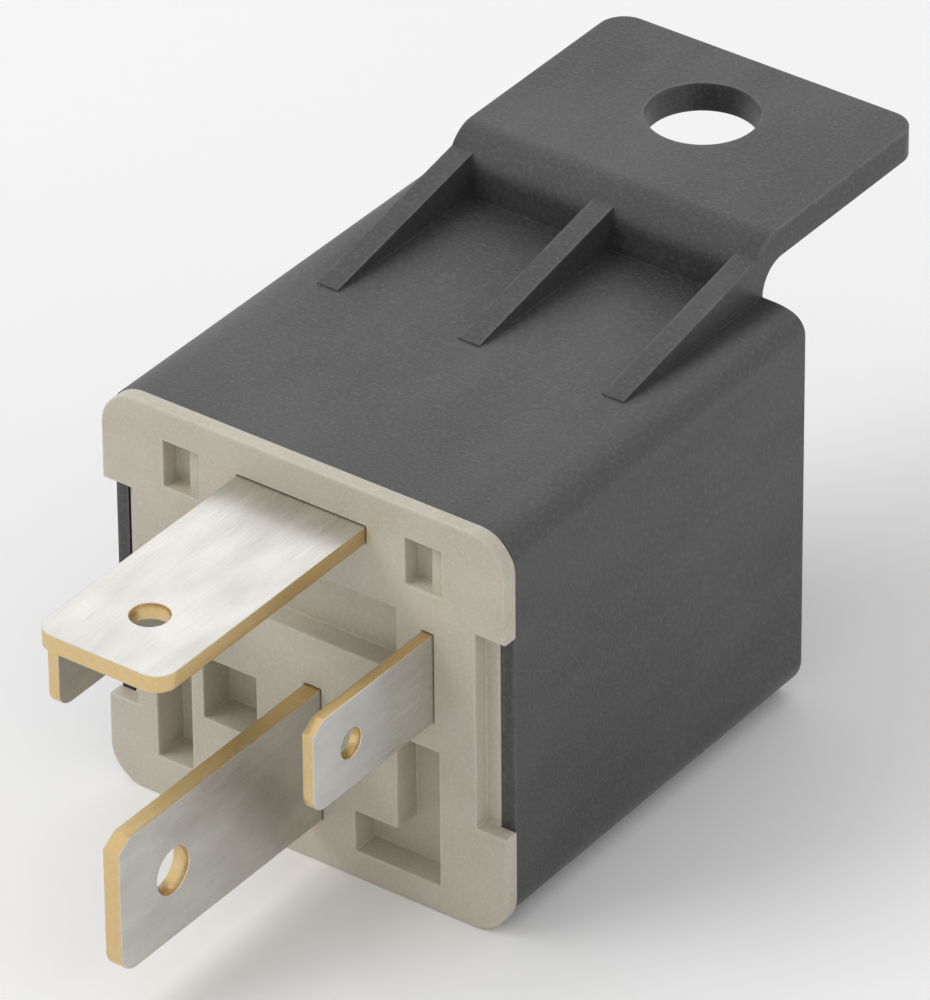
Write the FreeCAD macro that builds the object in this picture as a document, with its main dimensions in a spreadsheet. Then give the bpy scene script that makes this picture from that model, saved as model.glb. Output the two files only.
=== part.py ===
import FreeCAD, Part
import math
import os
import re
import Sketcher

# Automotive relay: a plug-in relay with a single make contact and a moulded mounting tab.
# The origin is the centre of the terminal face. The blades stand out towards -Y, the closed end
# of the cover lies towards +Y, +Z is up (the side that carries the tab) and +X is to the right
# of someone who looks at the terminals. All sizes are in millimetres and degrees.

DOC = FreeCAD.newDocument("automotive_relay")

SIZES = {
    # flange plate of the base, the widest outline of the box
    "flange_width": 29.8,
    "flange_height": 28.3,
    "flange_thickness": 1.1,
    "flange_corner": 2.5,
    # cover shell
    "cover_inset": 0.15,
    "cover_depth": 31.4,
    "cover_wall": 0.9,
    "cover_draft": 0.35,
    "shoulder_gentle": 4.5,
    "shoulder_tight": 1.6,
    "shoulder_angle": 18.0,
    "lower_corner": 2.5,
    # mounting tab, its riser and its ribs
    "tab_width": 22.8,
    "tab_thickness": 2.0,
    "tab_rise": 3.8,
    "tab_reach": 48.3,
    "tab_corner": 1.8,
    "tab_hole_radius": 3.6,
    "tab_hole_setback": 7.0,
    "riser_thickness": 1.0,
    "riser_outer_bend": 2.4,
    "riser_inner_bend": 2.0,
    "rib_thickness": 1.6,
    "rib_front": 16.9,
    "rib_rise": 2.75,
    # base plug and the recesses in the terminal face
    "base_depth": 4.6,
    "plug_clearance": 0.12,
    "plug_corner": 2.2,
    "right_notch_top": 7.1,
    "right_notch_bottom": 6.85,
    "left_notch_top": 7.65,
    "left_notch_bottom": 8.1,
    "notch_depth": 2.2,
    "window_width": 2.65,
    "window_height": 3.25,
    "window_offset": 8.95,
    "window_level": 10.35,
    "window_depth": 1.35,
    "window_step_width": 1.1,
    "window_step_setback": 0.55,
    "centre_recess_width": 13.8,
    "centre_recess_height": 4.5,
    "centre_recess_level": 4.45,
    "centre_recess_depth": 1.6,
    "side_slot_width": 2.6,
    "side_slot_height": 8.8,
    "side_slot_offset": 9.9,
    "side_slot_depth": 2.5,
    "lower_recess_floor": 11.3,
    "pocket_width": 4.0,
    "pocket_height": 4.45,
    "pocket_offset": 5.65,
    "pocket_level": 4.8,
    "pocket_depth": 2.6,
    "corner_recess_outer": 9.95,
    "corner_recess_arm": 3.1,
    "corner_recess_foot": 6.3,
    "corner_recess_top": 2.5,
    "corner_recess_height": 9.7,
    "corner_recess_foot_height": 2.9,
    "corner_recess_depth": 2.0,
    "blade_slot_clearance": 0.03,
    # wide blades, 9.5 x 1.2
    "blade_width": 9.5,
    "blade_thickness": 1.2,
    "blade_length": 19.7,
    "blade_corner": 1.4,
    "make_blade_hole_radius": 1.25,
    "feed_blade_hole_radius": 1.55,
    "blade_hole_setback": 5.1,
    "make_blade_level": 11.05,
    "make_arm_width": 7.0,
    "make_arm_bend": 1.4,
    "make_arm_inner_bend": 0.4,
    "feed_blade_offset": 0.6,
    "feed_blade_level": 6.2,
    "feed_foot_reach": 9.2,
    "feed_foot_bend": 1.0,
    "tip_clip_length": 1.1,
    "tip_clip_height": 0.7,
    # narrow blades, 6.3 x 0.8
    "coil_blade_width": 6.3,
    "coil_blade_thickness": 0.8,
    "coil_blade_length": 11.8,
    "coil_blade_corner": 1.1,
    "coil_blade_hole_radius": 1.0,
    "coil_blade_hole_setback": 3.7,
    "right_blade_offset": 9.2,
    "left_blade_offset": 9.65,
    "coil_blade_level": 2.7,
    # magnet frame
    "yoke_floor_gap": 1.5,
    "yoke_thickness": 1.8,
    "yoke_width": 14.0,
    "yoke_head": 5.3,
    "yoke_outer_bend": 2.2,
    "yoke_inner_bend": 0.25,
    "yoke_chamfer": 2.5,
    # core, bobbin and winding
    "core_radius": 3.4,
    "core_tail_radius": 2.4,
    "core_head_radius": 5.2,
    "core_head_thickness": 1.2,
    "core_clearance": 0.1,
    "bobbin_contact_gap": 0.75,
    "bobbin_flange_thickness": 1.0,
    "bobbin_flange_corner": 2.0,
    "bobbin_tube_wall": 0.8,
    "bobbin_yoke_gap": 0.3,
    "coil_setback": 0.9,
    "coil_clearance": 0.05,
    "coil_tape_thickness": 0.15,
    "lead_radius": 0.2,
    "lead_gap": 0.02,
    # armature, in its own frame about the hinge line
    "open_angle": 3.5,
    "hinge_play": 0.03,
    "armature_thickness": 1.6,
    "armature_width": 13.0,
    "armature_rise": 0.2,
    "armature_shoulder": 3.0,
    "armature_rivet_setback": 1.6,
    "rivet_spacing": 6.0,
    "rivet_radius": 0.6,
    "rivet_head_radius": 1.0,
    "rivet_head_thickness": 0.3,
    "rivet_clearance": 0.05,
    # contact spring
    "spring_thickness": 0.3,
    "spring_play": 0.02,
    "spring_width": 9.0,
    "spring_tongue_width": 4.6,
    "spring_bend": 0.6,
    "spring_leg": 8.0,
    "spring_rivet_setback": 6.0,
    "spring_tip": 2.0,
    # contacts
    "contact_margin": 1.65,
    "contact_shank_radius": 0.8,
    "contact_tail_radius": 1.0,
    "contact_tail_thickness": 0.35,
    "moving_contact_radius": 1.5,
    "moving_contact_thickness": 1.0,
    "fixed_contact_radius": 1.5,
    "fixed_contact_thickness": 1.0,
    "contact_crown": 0.15,
    "contact_play": 0.05,
    "make_tab_drop": 4.0,
    # stop rib inside the cover, behind the spring's tip
    "stop_play": 0.08,
    "stop_depth": 1.57,
    "stop_width": 6.0,
    "stop_cover": 0.65,
    # braided shunt
    "braid_width": 3.0,
    "braid_thickness": 0.8,
    "braid_offset": 10.0,
    "braid_bend": 1.0,
    "braid_level": 5.0,
    "braid_seat": 2.5,
    "braid_gap": 0.05,
    # suppression resistor
    "resistor_radius": 1.2,
    "resistor_waist": 1.0,
    "resistor_length": 6.4,
    "resistor_cap": 1.6,
    "resistor_lead_radius": 0.3,
    "resistor_gap": 0.3,
}

sheet = DOC.addObject("Spreadsheet::Sheet", "Sizes")
for row, (alias, amount) in enumerate(SIZES.items(), start=1):
    sheet.set(f"A{row}", alias)
    sheet.set(f"B{row}", str(amount))
    sheet.setAlias(f"B{row}", alias)
DOC.recompute()

# How near two lengths and two places have to be to count as the same.
SAME_LENGTH = 0.001
SAME_PLACE = 0.01

# A formula is a sum of terms, each a product of sizes, numbers and sin() or cos() of an angle.
TERM = re.compile(r"([+-]?)\s*([^+-]+)")
FACTOR = re.compile(r"([*/]?)\s*(sin|cos)?\(?([a-z][a-z_]*|\d[\d.]*)\)?")


def number(formula):
    """The value of a formula, read from the sheet."""
    total = 0.0
    for sign, term in TERM.findall(formula):
        product = 1.0
        for operator, function, name in FACTOR.findall(term):
            factor = float(name) if name[0].isdigit() else float(sheet.get(name))
            if function:
                factor = getattr(math, function)(math.radians(factor))
            product = product / factor if operator == "/" else product * factor
        total += -product if sign == "-" else product
    return total


def expression(formula):
    """The formula as an expression on the sheet's cells."""
    text = re.sub(r"(?<![\w.])([a-z][a-z_]*)(?![\w(])", r"Sizes.\1", formula)
    return re.sub(r"(sin|cos)\(([\w.]+)\)", r"\1(\2 * 1 deg)", text)


def bind(target, path, formula):
    target.setExpression(path, expression(formula))


def flip(formula):
    """The formula with every sign turned round."""
    turned = formula.translate(str.maketrans("+-", "-+"))
    return turned if turned[0] in "+-" else "-" + turned


def times(formula, factor):
    """Each term of the formula times a factor."""
    return TERM.sub(rf"\1\2*{factor}", formula)


# Levels and stations that several pieces share
COVER_HALF_WIDTH = "flange_width/2-cover_inset"
COVER_TOP = "flange_height/2-cover_inset"
CAVITY_TOP = COVER_TOP + "-cover_wall"
TAB_TOP = COVER_TOP + "+tab_rise"
WALL_MIDDLE = COVER_TOP + "-0.5*cover_wall"
YOKE_BOTTOM = flip(CAVITY_TOP) + "+yoke_floor_gap"
YOKE_TOP = YOKE_BOTTOM + "+yoke_thickness"
YOKE_FRONT = "base_depth+blade_thickness"
HINGE_LEVEL = YOKE_BOTTOM + "+yoke_thickness/2"
MAKE_TAB_END = "make_blade_level-make_tab_drop"
CONTACT_LEVEL = MAKE_TAB_END + "+contact_margin"
CONTACT_HEIGHT = CONTACT_LEVEL + flip(HINGE_LEVEL)
SPRING_TOP = CONTACT_HEIGHT + "+spring_tip"
SPRING_FRONT = "hinge_play+armature_thickness+spring_play"
SPRING_BACK = SPRING_FRONT + "+spring_thickness"
BOBBIN_LOW = YOKE_TOP + "+bobbin_yoke_gap"
BOBBIN_HIGH = MAKE_TAB_END + "-bobbin_contact_gap"
BOBBIN_HALF = times(BOBBIN_HIGH + flip(BOBBIN_LOW), "0.5")
CORE_LEVEL = times(f"{BOBBIN_HIGH}+{BOBBIN_LOW}".replace("+-", "-"), "0.5")
COIL_RADIUS = BOBBIN_HALF + "-coil_setback"
ARMATURE_HEIGHT = BOBBIN_HIGH + flip(HINGE_LEVEL) + "+armature_rise"
RIVET_HEIGHT = ARMATURE_HEIGHT + "-armature_rivet_setback"
# The spring's tip leans on the stop when the armature is open, which places the core's pole face.
POLE_FACE = (
    "cover_depth-cover_wall-stop_depth-stop_play"
    + flip(times(SPRING_BACK, "cos(open_angle)"))
    + flip(times(SPRING_TOP, "sin(open_angle)"))
)
BOBBIN_FRONT = YOKE_FRONT + "+yoke_thickness"
BOBBIN_BACK = POLE_FACE + "-core_head_thickness"
MAKE_TAB_BACK = f"{POLE_FACE}+{SPRING_FRONT}-moving_contact_thickness-contact_play-fixed_contact_thickness"
MAKE_TAB_FRONT = MAKE_TAB_BACK + "-blade_thickness"
COIL_LEAD_LEVEL = "coil_blade_level-coil_blade_width/2+2*lead_radius"
COIL_LEAD_STATION = BOBBIN_FRONT + "+bobbin_flange_thickness+coil_clearance+2*lead_radius"
RESISTOR_LEVEL = CORE_LEVEL + "+yoke_head+resistor_gap+resistor_radius"
RESISTOR_STATION = "base_depth+resistor_gap+resistor_radius"
FOOT_RIVET_X = "feed_blade_offset-feed_foot_reach/2"
FOOT_RIVET_LEVELS = ("-feed_blade_level-blade_width/4", "-feed_blade_level+blade_width/4")


# Sketches

def new_body(label):
    body = DOC.addObject("PartDesign::Body", label)
    body.Label = label
    return body


def sketch_on(body, plane, level=""):
    """A sketch on one of the body's own origin planes, or parallel to it at a level along its normal."""
    sketch = body.newObject("Sketcher::SketchObject", "Sketch")
    support = next(f for f in body.Origin.OriginFeatures if f.Role == plane)
    sketch.AttachmentSupport = [(support, "")]
    sketch.MapMode = "FlatFace"
    if level:
        bind(sketch, "AttachmentOffset.Base.z", flip(level) if plane == "XZ_Plane" else level)
    return sketch


def set_point(sketch, geometry, end, place):
    for kind, formula in zip(("DistanceX", "DistanceY"), place):
        row = sketch.addConstraint(Sketcher.Constraint(kind, -1, 1, geometry, end, number(formula)))
        sketch.setExpression(f"Constraints[{row}]", expression(formula))


def set_radius(sketch, geometry, formula):
    row = sketch.addConstraint(Sketcher.Constraint("Radius", geometry, number(formula)))
    sketch.setExpression(f"Constraints[{row}]", expression(formula))


def arc_between(start, end, radius, turn):
    """The shorter arc from start to end that turns left or right."""
    chord = end - start
    rise = math.sqrt(max(radius ** 2 - (chord.Length / 2) ** 2, 0.0))
    side = FreeCAD.Vector(-chord.y, chord.x, 0).normalize() * rise
    centre = (start + end) * 0.5 + (side if turn == "left" else -side)
    first, last = (start, end) if turn == "left" else (end, start)
    angles = [math.atan2(p.y - centre.y, p.x - centre.x) for p in (first, last)]
    if angles[1] < angles[0]:
        angles[1] += 2 * math.pi
    return Part.ArcOfCircle(Part.Circle(centre, FreeCAD.Vector(0, 0, 1), radius), *angles)


def trace(sketch, corners, closed=True):
    """Lines and arcs through the corners. A corner is (x, y), or (x, y, radius, turn) before an arc."""
    spots = [FreeCAD.Vector(number(corner[0]), number(corner[1]), 0) for corner in corners]
    stretches = []
    for step in range(len(corners) if closed else len(corners) - 1):
        start, end = spots[step], spots[(step + 1) % len(spots)]
        if len(corners[step]) == 2:
            line = sketch.addGeometry(Part.LineSegment(start, end))
            stretches.append((line, 1, 2))
        else:
            radius, turn = corners[step][2:]
            arc = sketch.addGeometry(arc_between(start, end, number(radius), turn))
            stretches.append((arc, 1, 2) if turn == "left" else (arc, 2, 1))
            set_radius(sketch, arc, radius)
    for step, (geometry, start, end) in enumerate(stretches):
        if step or closed:
            before, _, joint = stretches[step - 1]
            sketch.addConstraint(Sketcher.Constraint("Coincident", before, joint, geometry, start))
        set_point(sketch, geometry, start, corners[step][:2])
    if not closed:
        set_point(sketch, stretches[-1][0], stretches[-1][2], corners[-1][:2])


def circle(sketch, x, y, radius):
    centre = FreeCAD.Vector(number(x), number(y), 0)
    ring = sketch.addGeometry(Part.Circle(centre, FreeCAD.Vector(0, 0, 1), number(radius)))
    set_point(sketch, ring, 3, (x, y))
    set_radius(sketch, ring, radius)


def rectangle(sketch, left, right, low, high):
    trace(sketch, [(left, low), (right, low), (right, high), (left, high)])


def rounded_rectangle(sketch, half_width, half_height, radius):
    right, top = half_width, half_height
    left, low = flip(right), flip(top)
    trace(sketch, [
        (f"{left}+{radius}", low),
        (f"{right}-{radius}", low, radius, "left"),
        (right, f"{low}+{radius}"),
        (right, f"{top}-{radius}", radius, "left"),
        (f"{right}-{radius}", top),
        (f"{left}+{radius}", top, radius, "left"),
        (left, f"{top}-{radius}"),
        (left, f"{low}+{radius}", radius, "left"),
    ])


# Features

def settle(body, feature, volume_before, grows):
    DOC.recompute()
    change = feature.Shape.Volume - volume_before
    if not (change > 0 if grows else change < 0):
        raise RuntimeError(f"{body.Label}: {feature.Name} changed the volume by {change}")
    body.Tip = feature
    return feature


def volume(body):
    return body.Tip.Shape.Volume if body.Tip else 0.0


def pad(body, sketch, length, reverse=False, symmetric=False, taper=""):
    before = volume(body)
    feature = body.newObject("PartDesign::Pad", "Pad")
    feature.Profile = sketch
    feature.SideType = "Symmetric" if symmetric else "One side"
    feature.Reversed = reverse
    bind(feature, "Length", length)
    if taper:
        bind(feature, "TaperAngle", taper)
    return settle(body, feature, before, True)


def pocket(body, sketch, depth, reverse=False, symmetric=False, taper=""):
    before = volume(body)
    feature = body.newObject("PartDesign::Pocket", "Pocket")
    feature.Profile = sketch
    feature.SideType = "Symmetric" if symmetric else "One side"
    feature.Reversed = reverse
    bind(feature, "Length", depth)
    if taper:
        bind(feature, "TaperAngle", taper)
    return settle(body, feature, before, False)


def revolve(body, sketch, axis):
    before = volume(body)
    feature = body.newObject("PartDesign::Revolution", "Revolution")
    feature.Profile = sketch
    feature.ReferenceAxis = (sketch, [axis])
    feature.Angle = 360.0
    return settle(body, feature, before, True)


def edges_along(shape, axis, places):
    """Names of the edges that run along an axis (0, 1 or 2) through places on the other two."""
    across = [k for k in range(3) if k != axis]
    names = []
    for row, edge in enumerate(shape.Edges, start=1):
        ends = [vertex.Point for vertex in edge.Vertexes]
        if len(ends) != 2 or abs(edge.Length - abs(ends[1][axis] - ends[0][axis])) > SAME_LENGTH:
            continue
        for place in places:
            if all(abs(ends[0][k] - number(p)) < SAME_PLACE for k, p in zip(across, place)):
                names.append(f"Edge{row}")
    return names


def dress(body, kind, names, prop, size, grows=False):
    """A Fillet or Chamfer on named edges of the body's last feature."""
    before = volume(body)
    base = body.Tip
    if not names:
        raise RuntimeError(f"{body.Label}: no edge for the {kind}")
    feature = body.newObject(f"PartDesign::{kind}", kind)
    feature.Base = (base, names)
    bind(feature, prop, size)
    return settle(body, feature, before, grows)


def ring_on_axis(label, level, profile):
    """A turned piece about a line along Y at a level: the profile's corners are (radius, y)."""
    body = new_body(label)
    sketch = sketch_on(body, "XY_Plane", level)
    trace(sketch, profile)
    revolve(body, sketch, "V_Axis")
    return body


def put_on_hinge(piece):
    """Stand a piece, modelled about the hinge line, on the yoke's end at the open angle."""
    piece.Placement = FreeCAD.Placement(
        FreeCAD.Vector(0, number(POLE_FACE), number(HINGE_LEVEL)),
        FreeCAD.Rotation(FreeCAD.Vector(-1, 0, 0), number("open_angle")),
    )
    bind(piece, "Placement.Base.y", POLE_FACE)
    bind(piece, "Placement.Base.z", HINGE_LEVEL)
    bind(piece, "Placement.Rotation.Angle", "open_angle")


def rivet(label, across, along, flush, seat, axis):
    """A rivet along Z or Y at (across, along): flush with the iron, with a flat head on the leaf."""
    body = new_body(label)
    sketch = sketch_on(body, "XZ_Plane" if axis == "Z" else "XY_Plane", along)
    bind(sketch, "AttachmentOffset.Base.x", across)
    head = f"{seat}{'+' if number(seat) > number(flush) else '-'}rivet_head_thickness"
    trace(sketch, [
        ("0", flush),
        ("rivet_radius", flush),
        ("rivet_radius", seat),
        ("rivet_head_radius", seat),
        ("rivet_head_radius", head),
        ("0", head),
    ])
    revolve(body, sketch, "V_Axis")
    return body


def compound(label, pieces):
    """Separate solids as one node."""
    group = DOC.addObject("Part::Compound", label)
    group.Label = label
    group.Links = pieces
    return group


def mirrored_pair(label, body):
    """The piece and its mirror image in the middle plane, as one node."""
    image = DOC.addObject("Part::Mirroring", f"{label}_image")
    image.Source = body
    image.Normal = FreeCAD.Vector(1, 0, 0)
    image.Base = FreeCAD.Vector(0, 0, 0)
    pair = compound(label, [body, image])
    DOC.recompute()
    return pair


# Cover: shell, tab, riser, ribs and inner stop, all one moulding

def shoulder_outline(sketch, half_width, top, gentle, tight, low_radius):
    """A box outline whose upper corners run from a gentle arc into a tight one."""
    sine, cosine = "sin(shoulder_angle)", "cos(shoulder_angle)"
    knee_x = f"{half_width}{flip(tight)}+{times(tight, sine)}"
    knee_y = f"{top}{flip(gentle)}+{times(gentle, cosine)}"
    flat_x = f"{knee_x}{flip(times(gentle, sine))}"
    side_y = f"{knee_y}{flip(times(tight, cosine))}"
    low = flip(top)
    trace(sketch, [
        (flip(flat_x), top),
        (flat_x, top, gentle, "right"),
        (knee_x, knee_y, tight, "right"),
        (half_width, side_y),
        (half_width, f"{low}+{low_radius}", low_radius, "right"),
        (f"{half_width}{flip(low_radius)}", low),
        (f"{flip(half_width)}+{low_radius}", low, low_radius, "right"),
        (flip(half_width), f"{low}+{low_radius}"),
        (flip(half_width), side_y, tight, "right"),
        (flip(knee_x), knee_y, gentle, "right"),
    ])


def make_cover():
    body = new_body("cover")
    outline = sketch_on(body, "XZ_Plane", "flange_thickness")
    shoulder_outline(outline, COVER_HALF_WIDTH, COVER_TOP, "shoulder_gentle", "shoulder_tight", "lower_corner")
    pad(body, outline, "cover_depth-flange_thickness", reverse=True, taper="0-cover_draft")
    cavity = sketch_on(body, "XZ_Plane", "flange_thickness")
    shoulder_outline(
        cavity, COVER_HALF_WIDTH + "-cover_wall", CAVITY_TOP,
        "shoulder_gentle-cover_wall", "shoulder_tight-cover_wall", "lower_corner-cover_wall",
    )
    pocket(body, cavity, "cover_depth-flange_thickness-cover_wall", taper="0-cover_draft")

    riser_front = "cover_depth-riser_thickness"
    tab_under = TAB_TOP + "-tab_thickness"
    side = sketch_on(body, "YZ_Plane")
    trace(side, [
        (riser_front, WALL_MIDDLE),
        (riser_front, TAB_TOP + "-riser_outer_bend", "riser_outer_bend", "right"),
        (riser_front + "+riser_outer_bend", TAB_TOP),
        ("tab_reach", TAB_TOP),
        ("tab_reach", tab_under),
        ("cover_depth+riser_inner_bend", tab_under, "riser_inner_bend", "left"),
        ("cover_depth", tab_under + "-riser_inner_bend"),
        ("cover_depth", WALL_MIDDLE),
    ])
    pad(body, side, "tab_width", symmetric=True)
    corners = [("tab_width/2", "tab_reach"), ("-tab_width/2", "tab_reach")]
    dress(body, "Fillet", edges_along(body.Tip.Shape, 2, corners), "Radius", "tab_corner")

    hole = sketch_on(body, "XY_Plane", TAB_TOP)
    circle(hole, "0", "tab_reach-tab_hole_setback", "tab_hole_radius")
    pocket(body, hole, "tab_thickness")

    rib = sketch_on(body, "YZ_Plane", "-tab_width/2")
    trace(rib, [
        ("rib_front", WALL_MIDDLE),
        (riser_front + "+0.5*riser_thickness", WALL_MIDDLE),
        (riser_front + "+0.5*riser_thickness", COVER_TOP + "+rib_rise"),
        ("rib_front", COVER_TOP),
    ])
    first_rib = pad(body, rib, "rib_thickness")
    before = volume(body)
    ribs = body.newObject("PartDesign::LinearPattern", "Ribs")
    ribs.Originals = [first_rib]
    ribs.Direction = (rib, ["N_Axis"])
    ribs.Occurrences = 3
    bind(ribs, "Length", "tab_width-rib_thickness")
    settle(body, ribs, before, True)

    # The stop rib hangs from the roof in front of the rear wall, level with the spring's tip.
    tip_level = f"{HINGE_LEVEL}+{times(SPRING_TOP, 'cos(open_angle)')}".replace("+-", "-")
    stop = sketch_on(body, "YZ_Plane")
    rectangle(
        stop, "cover_depth-cover_wall-stop_depth", "cover_depth-0.5*cover_wall",
        tip_level + "-stop_cover", WALL_MIDDLE,
    )
    pad(body, stop, "stop_width", symmetric=True)
    return body


# Base: flange plate and plug, with the recesses of the terminal face

def cut_front(body, depth, draw):
    """A recess sunk into the terminal face."""
    sketch = sketch_on(body, "XZ_Plane")
    draw(sketch)
    pocket(body, sketch, depth)


def make_base():
    body = new_body("base")
    plate = sketch_on(body, "XZ_Plane")
    rounded_rectangle(plate, "flange_width/2", "flange_height/2", "flange_corner")
    pad(body, plate, "flange_thickness", reverse=True)
    plug = sketch_on(body, "XZ_Plane", "flange_thickness")
    rounded_rectangle(
        plug, COVER_HALF_WIDTH + "-cover_wall-plug_clearance", CAVITY_TOP + "-plug_clearance", "plug_corner"
    )
    pad(body, plug, "base_depth-flange_thickness", reverse=True)

    def notches(sketch):
        inner = "flange_width/2-notch_depth"
        rectangle(sketch, inner, "flange_width/2+notch_depth", "-right_notch_bottom", "right_notch_top")
        rectangle(sketch, "-flange_width/2-notch_depth", flip(inner), "-left_notch_bottom", "left_notch_top")

    def windows(sketch, right_trim="0*window_width"):
        for centre in ("window_offset", "-window_offset"):
            rectangle(
                sketch, f"{centre}-window_width/2", f"{centre}+window_width/2-{right_trim}",
                "window_level-window_height/2", "window_level+window_height/2",
            )

    def centre_recess(sketch):
        rectangle(
            sketch, "-centre_recess_width/2", "centre_recess_width/2",
            "centre_recess_level-centre_recess_height/2", "centre_recess_level+centre_recess_height/2",
        )

    def side_slot(sketch):
        rectangle(
            sketch, "-side_slot_offset-side_slot_width/2", "-side_slot_offset+side_slot_width/2",
            "-lower_recess_floor", "-lower_recess_floor+side_slot_height",
        )

    def small_pocket(sketch):
        rectangle(
            sketch, "-pocket_offset-pocket_width/2", "-pocket_offset+pocket_width/2",
            "-pocket_level-pocket_height/2", "-pocket_level+pocket_height/2",
        )

    def corner_recess(sketch):
        floor = "-corner_recess_top-corner_recess_height"
        step = floor + "+corner_recess_foot_height"
        trace(sketch, [
            ("corner_recess_outer-corner_recess_foot", floor),
            ("corner_recess_outer", floor),
            ("corner_recess_outer", "-corner_recess_top"),
            ("corner_recess_outer-corner_recess_arm", "-corner_recess_top"),
            ("corner_recess_outer-corner_recess_arm", step),
            ("corner_recess_outer-corner_recess_foot", step),
        ])

    cut_front(body, "flange_thickness", notches)
    cut_front(body, "window_step_setback", windows)
    cut_front(body, "window_depth", lambda sketch: windows(sketch, "window_step_width"))
    cut_front(body, "centre_recess_depth", centre_recess)
    cut_front(body, "side_slot_depth", side_slot)
    cut_front(body, "pocket_depth", small_pocket)
    cut_front(body, "corner_recess_depth", corner_recess)

    def blade_slot(sketch, x, z, width, height):
        rectangle(
            sketch,
            f"{x}-{width}/2-blade_slot_clearance", f"{x}+{width}/2+blade_slot_clearance",
            f"{z}-{height}/2-blade_slot_clearance", f"{z}+{height}/2+blade_slot_clearance",
        )

    def blade_slots(sketch):
        blade_slot(sketch, "0*blade_width", "make_blade_level", "blade_width", "blade_thickness")
        blade_slot(sketch, "feed_blade_offset", "-feed_blade_level", "blade_thickness", "blade_width")
        for x in ("right_blade_offset", "-left_blade_offset"):
            blade_slot(sketch, x, "coil_blade_level", "coil_blade_thickness", "coil_blade_width")

    cut_front(body, "base_depth", blade_slots)
    return body


# Terminals

def upright_blade(body, x, level, width, thickness, length, back, corner, hole, hole_setback):
    """A blade whose flat sides face left and right: clipped upper corner, rounded lower corner."""
    side = sketch_on(body, "YZ_Plane", x)
    low, high = f"{level}-{width}/2", f"{level}+{width}/2"
    trace(side, [
        (f"-{length}+{corner}", low),
        (back, low),
        (back, high),
        (f"-{length}+tip_clip_length", high),
        (f"-{length}", f"{high}-tip_clip_height"),
        (f"-{length}", f"{low}+{corner}", corner, "left"),
    ])
    pad(body, side, thickness, symmetric=True)
    drill = sketch_on(body, "YZ_Plane", x)
    circle(drill, f"-{length}+{hole_setback}", level, hole)
    pocket(body, drill, f"2*{thickness}", symmetric=True)


def make_coil_terminal(label, x):
    body = new_body(label)
    upright_blade(
        body, x, "coil_blade_level", "coil_blade_width", "coil_blade_thickness", "coil_blade_length",
        COIL_LEAD_STATION + "+2*lead_radius", "coil_blade_corner", "coil_blade_hole_radius",
        "coil_blade_hole_setback",
    )
    return body


def make_feed_terminal():
    """The wide upright blade, whose inner end turns into a foot in front of the yoke."""
    body = new_body("terminal_30")
    upright_blade(
        body, "feed_blade_offset", "-feed_blade_level", "blade_width", "blade_thickness", "blade_length",
        YOKE_FRONT, "blade_corner", "feed_blade_hole_radius", "blade_hole_setback",
    )
    foot = sketch_on(body, "XZ_Plane", "base_depth")
    side = "feed_blade_offset+blade_thickness/2"
    rectangle(
        foot, side + "-feed_foot_reach", side,
        "-feed_blade_level-blade_width/2", "-feed_blade_level+blade_width/2",
    )
    pad(body, foot, "blade_thickness", reverse=True)
    bend = edges_along(body.Tip.Shape, 2, [(side, YOKE_FRONT)])
    dress(body, "Fillet", bend, "Radius", "feed_foot_bend")
    holes = sketch_on(body, "XZ_Plane", "base_depth")
    for z in FOOT_RIVET_LEVELS:
        circle(holes, FOOT_RIVET_X, z, "rivet_radius+rivet_clearance")
    pocket(body, holes, "blade_thickness")
    return body


def make_make_terminal():
    """The wide flat blade, whose inner arm runs over the coil and turns down to the fixed contact."""
    body = new_body("terminal_87")
    flat = sketch_on(body, "XY_Plane", "make_blade_level-blade_thickness/2")
    half, arm, tip = "blade_width/2", "make_arm_width/2", "-blade_length"
    trace(flat, [
        (f"-{half}+blade_corner", tip),
        (f"{half}-blade_corner", tip, "blade_corner", "left"),
        (half, f"{tip}+blade_corner"),
        (half, "base_depth"),
        (arm, "base_depth"),
        (arm, MAKE_TAB_BACK),
        (f"-{arm}", MAKE_TAB_BACK),
        (f"-{arm}", "base_depth"),
        (f"-{half}", "base_depth"),
        (f"-{half}", f"{tip}+blade_corner", "blade_corner", "left"),
    ])
    pad(body, flat, "blade_thickness")
    drop = sketch_on(body, "XZ_Plane", MAKE_TAB_FRONT)
    rectangle(
        drop, f"-{arm}", arm,
        MAKE_TAB_END, "make_blade_level+blade_thickness/2",
    )
    pad(body, drop, "blade_thickness", reverse=True)
    outer = [(MAKE_TAB_BACK, "make_blade_level+blade_thickness/2")]
    dress(body, "Fillet", edges_along(body.Tip.Shape, 0, outer), "Radius", "make_arm_bend")
    inner = [(MAKE_TAB_FRONT, "make_blade_level-blade_thickness/2")]
    dress(body, "Fillet", edges_along(body.Tip.Shape, 0, inner), "Radius", "make_arm_inner_bend", grows=True)
    drill = sketch_on(body, "XY_Plane", "make_blade_level+blade_thickness/2")
    circle(drill, "0", "-blade_length+blade_hole_setback", "make_blade_hole_radius")
    pocket(body, drill, "blade_thickness")
    seat = sketch_on(body, "XZ_Plane", MAKE_TAB_FRONT)
    circle(seat, "0", CONTACT_LEVEL, "contact_shank_radius")
    pocket(body, seat, "blade_thickness")
    return body


# Magnet system

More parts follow.
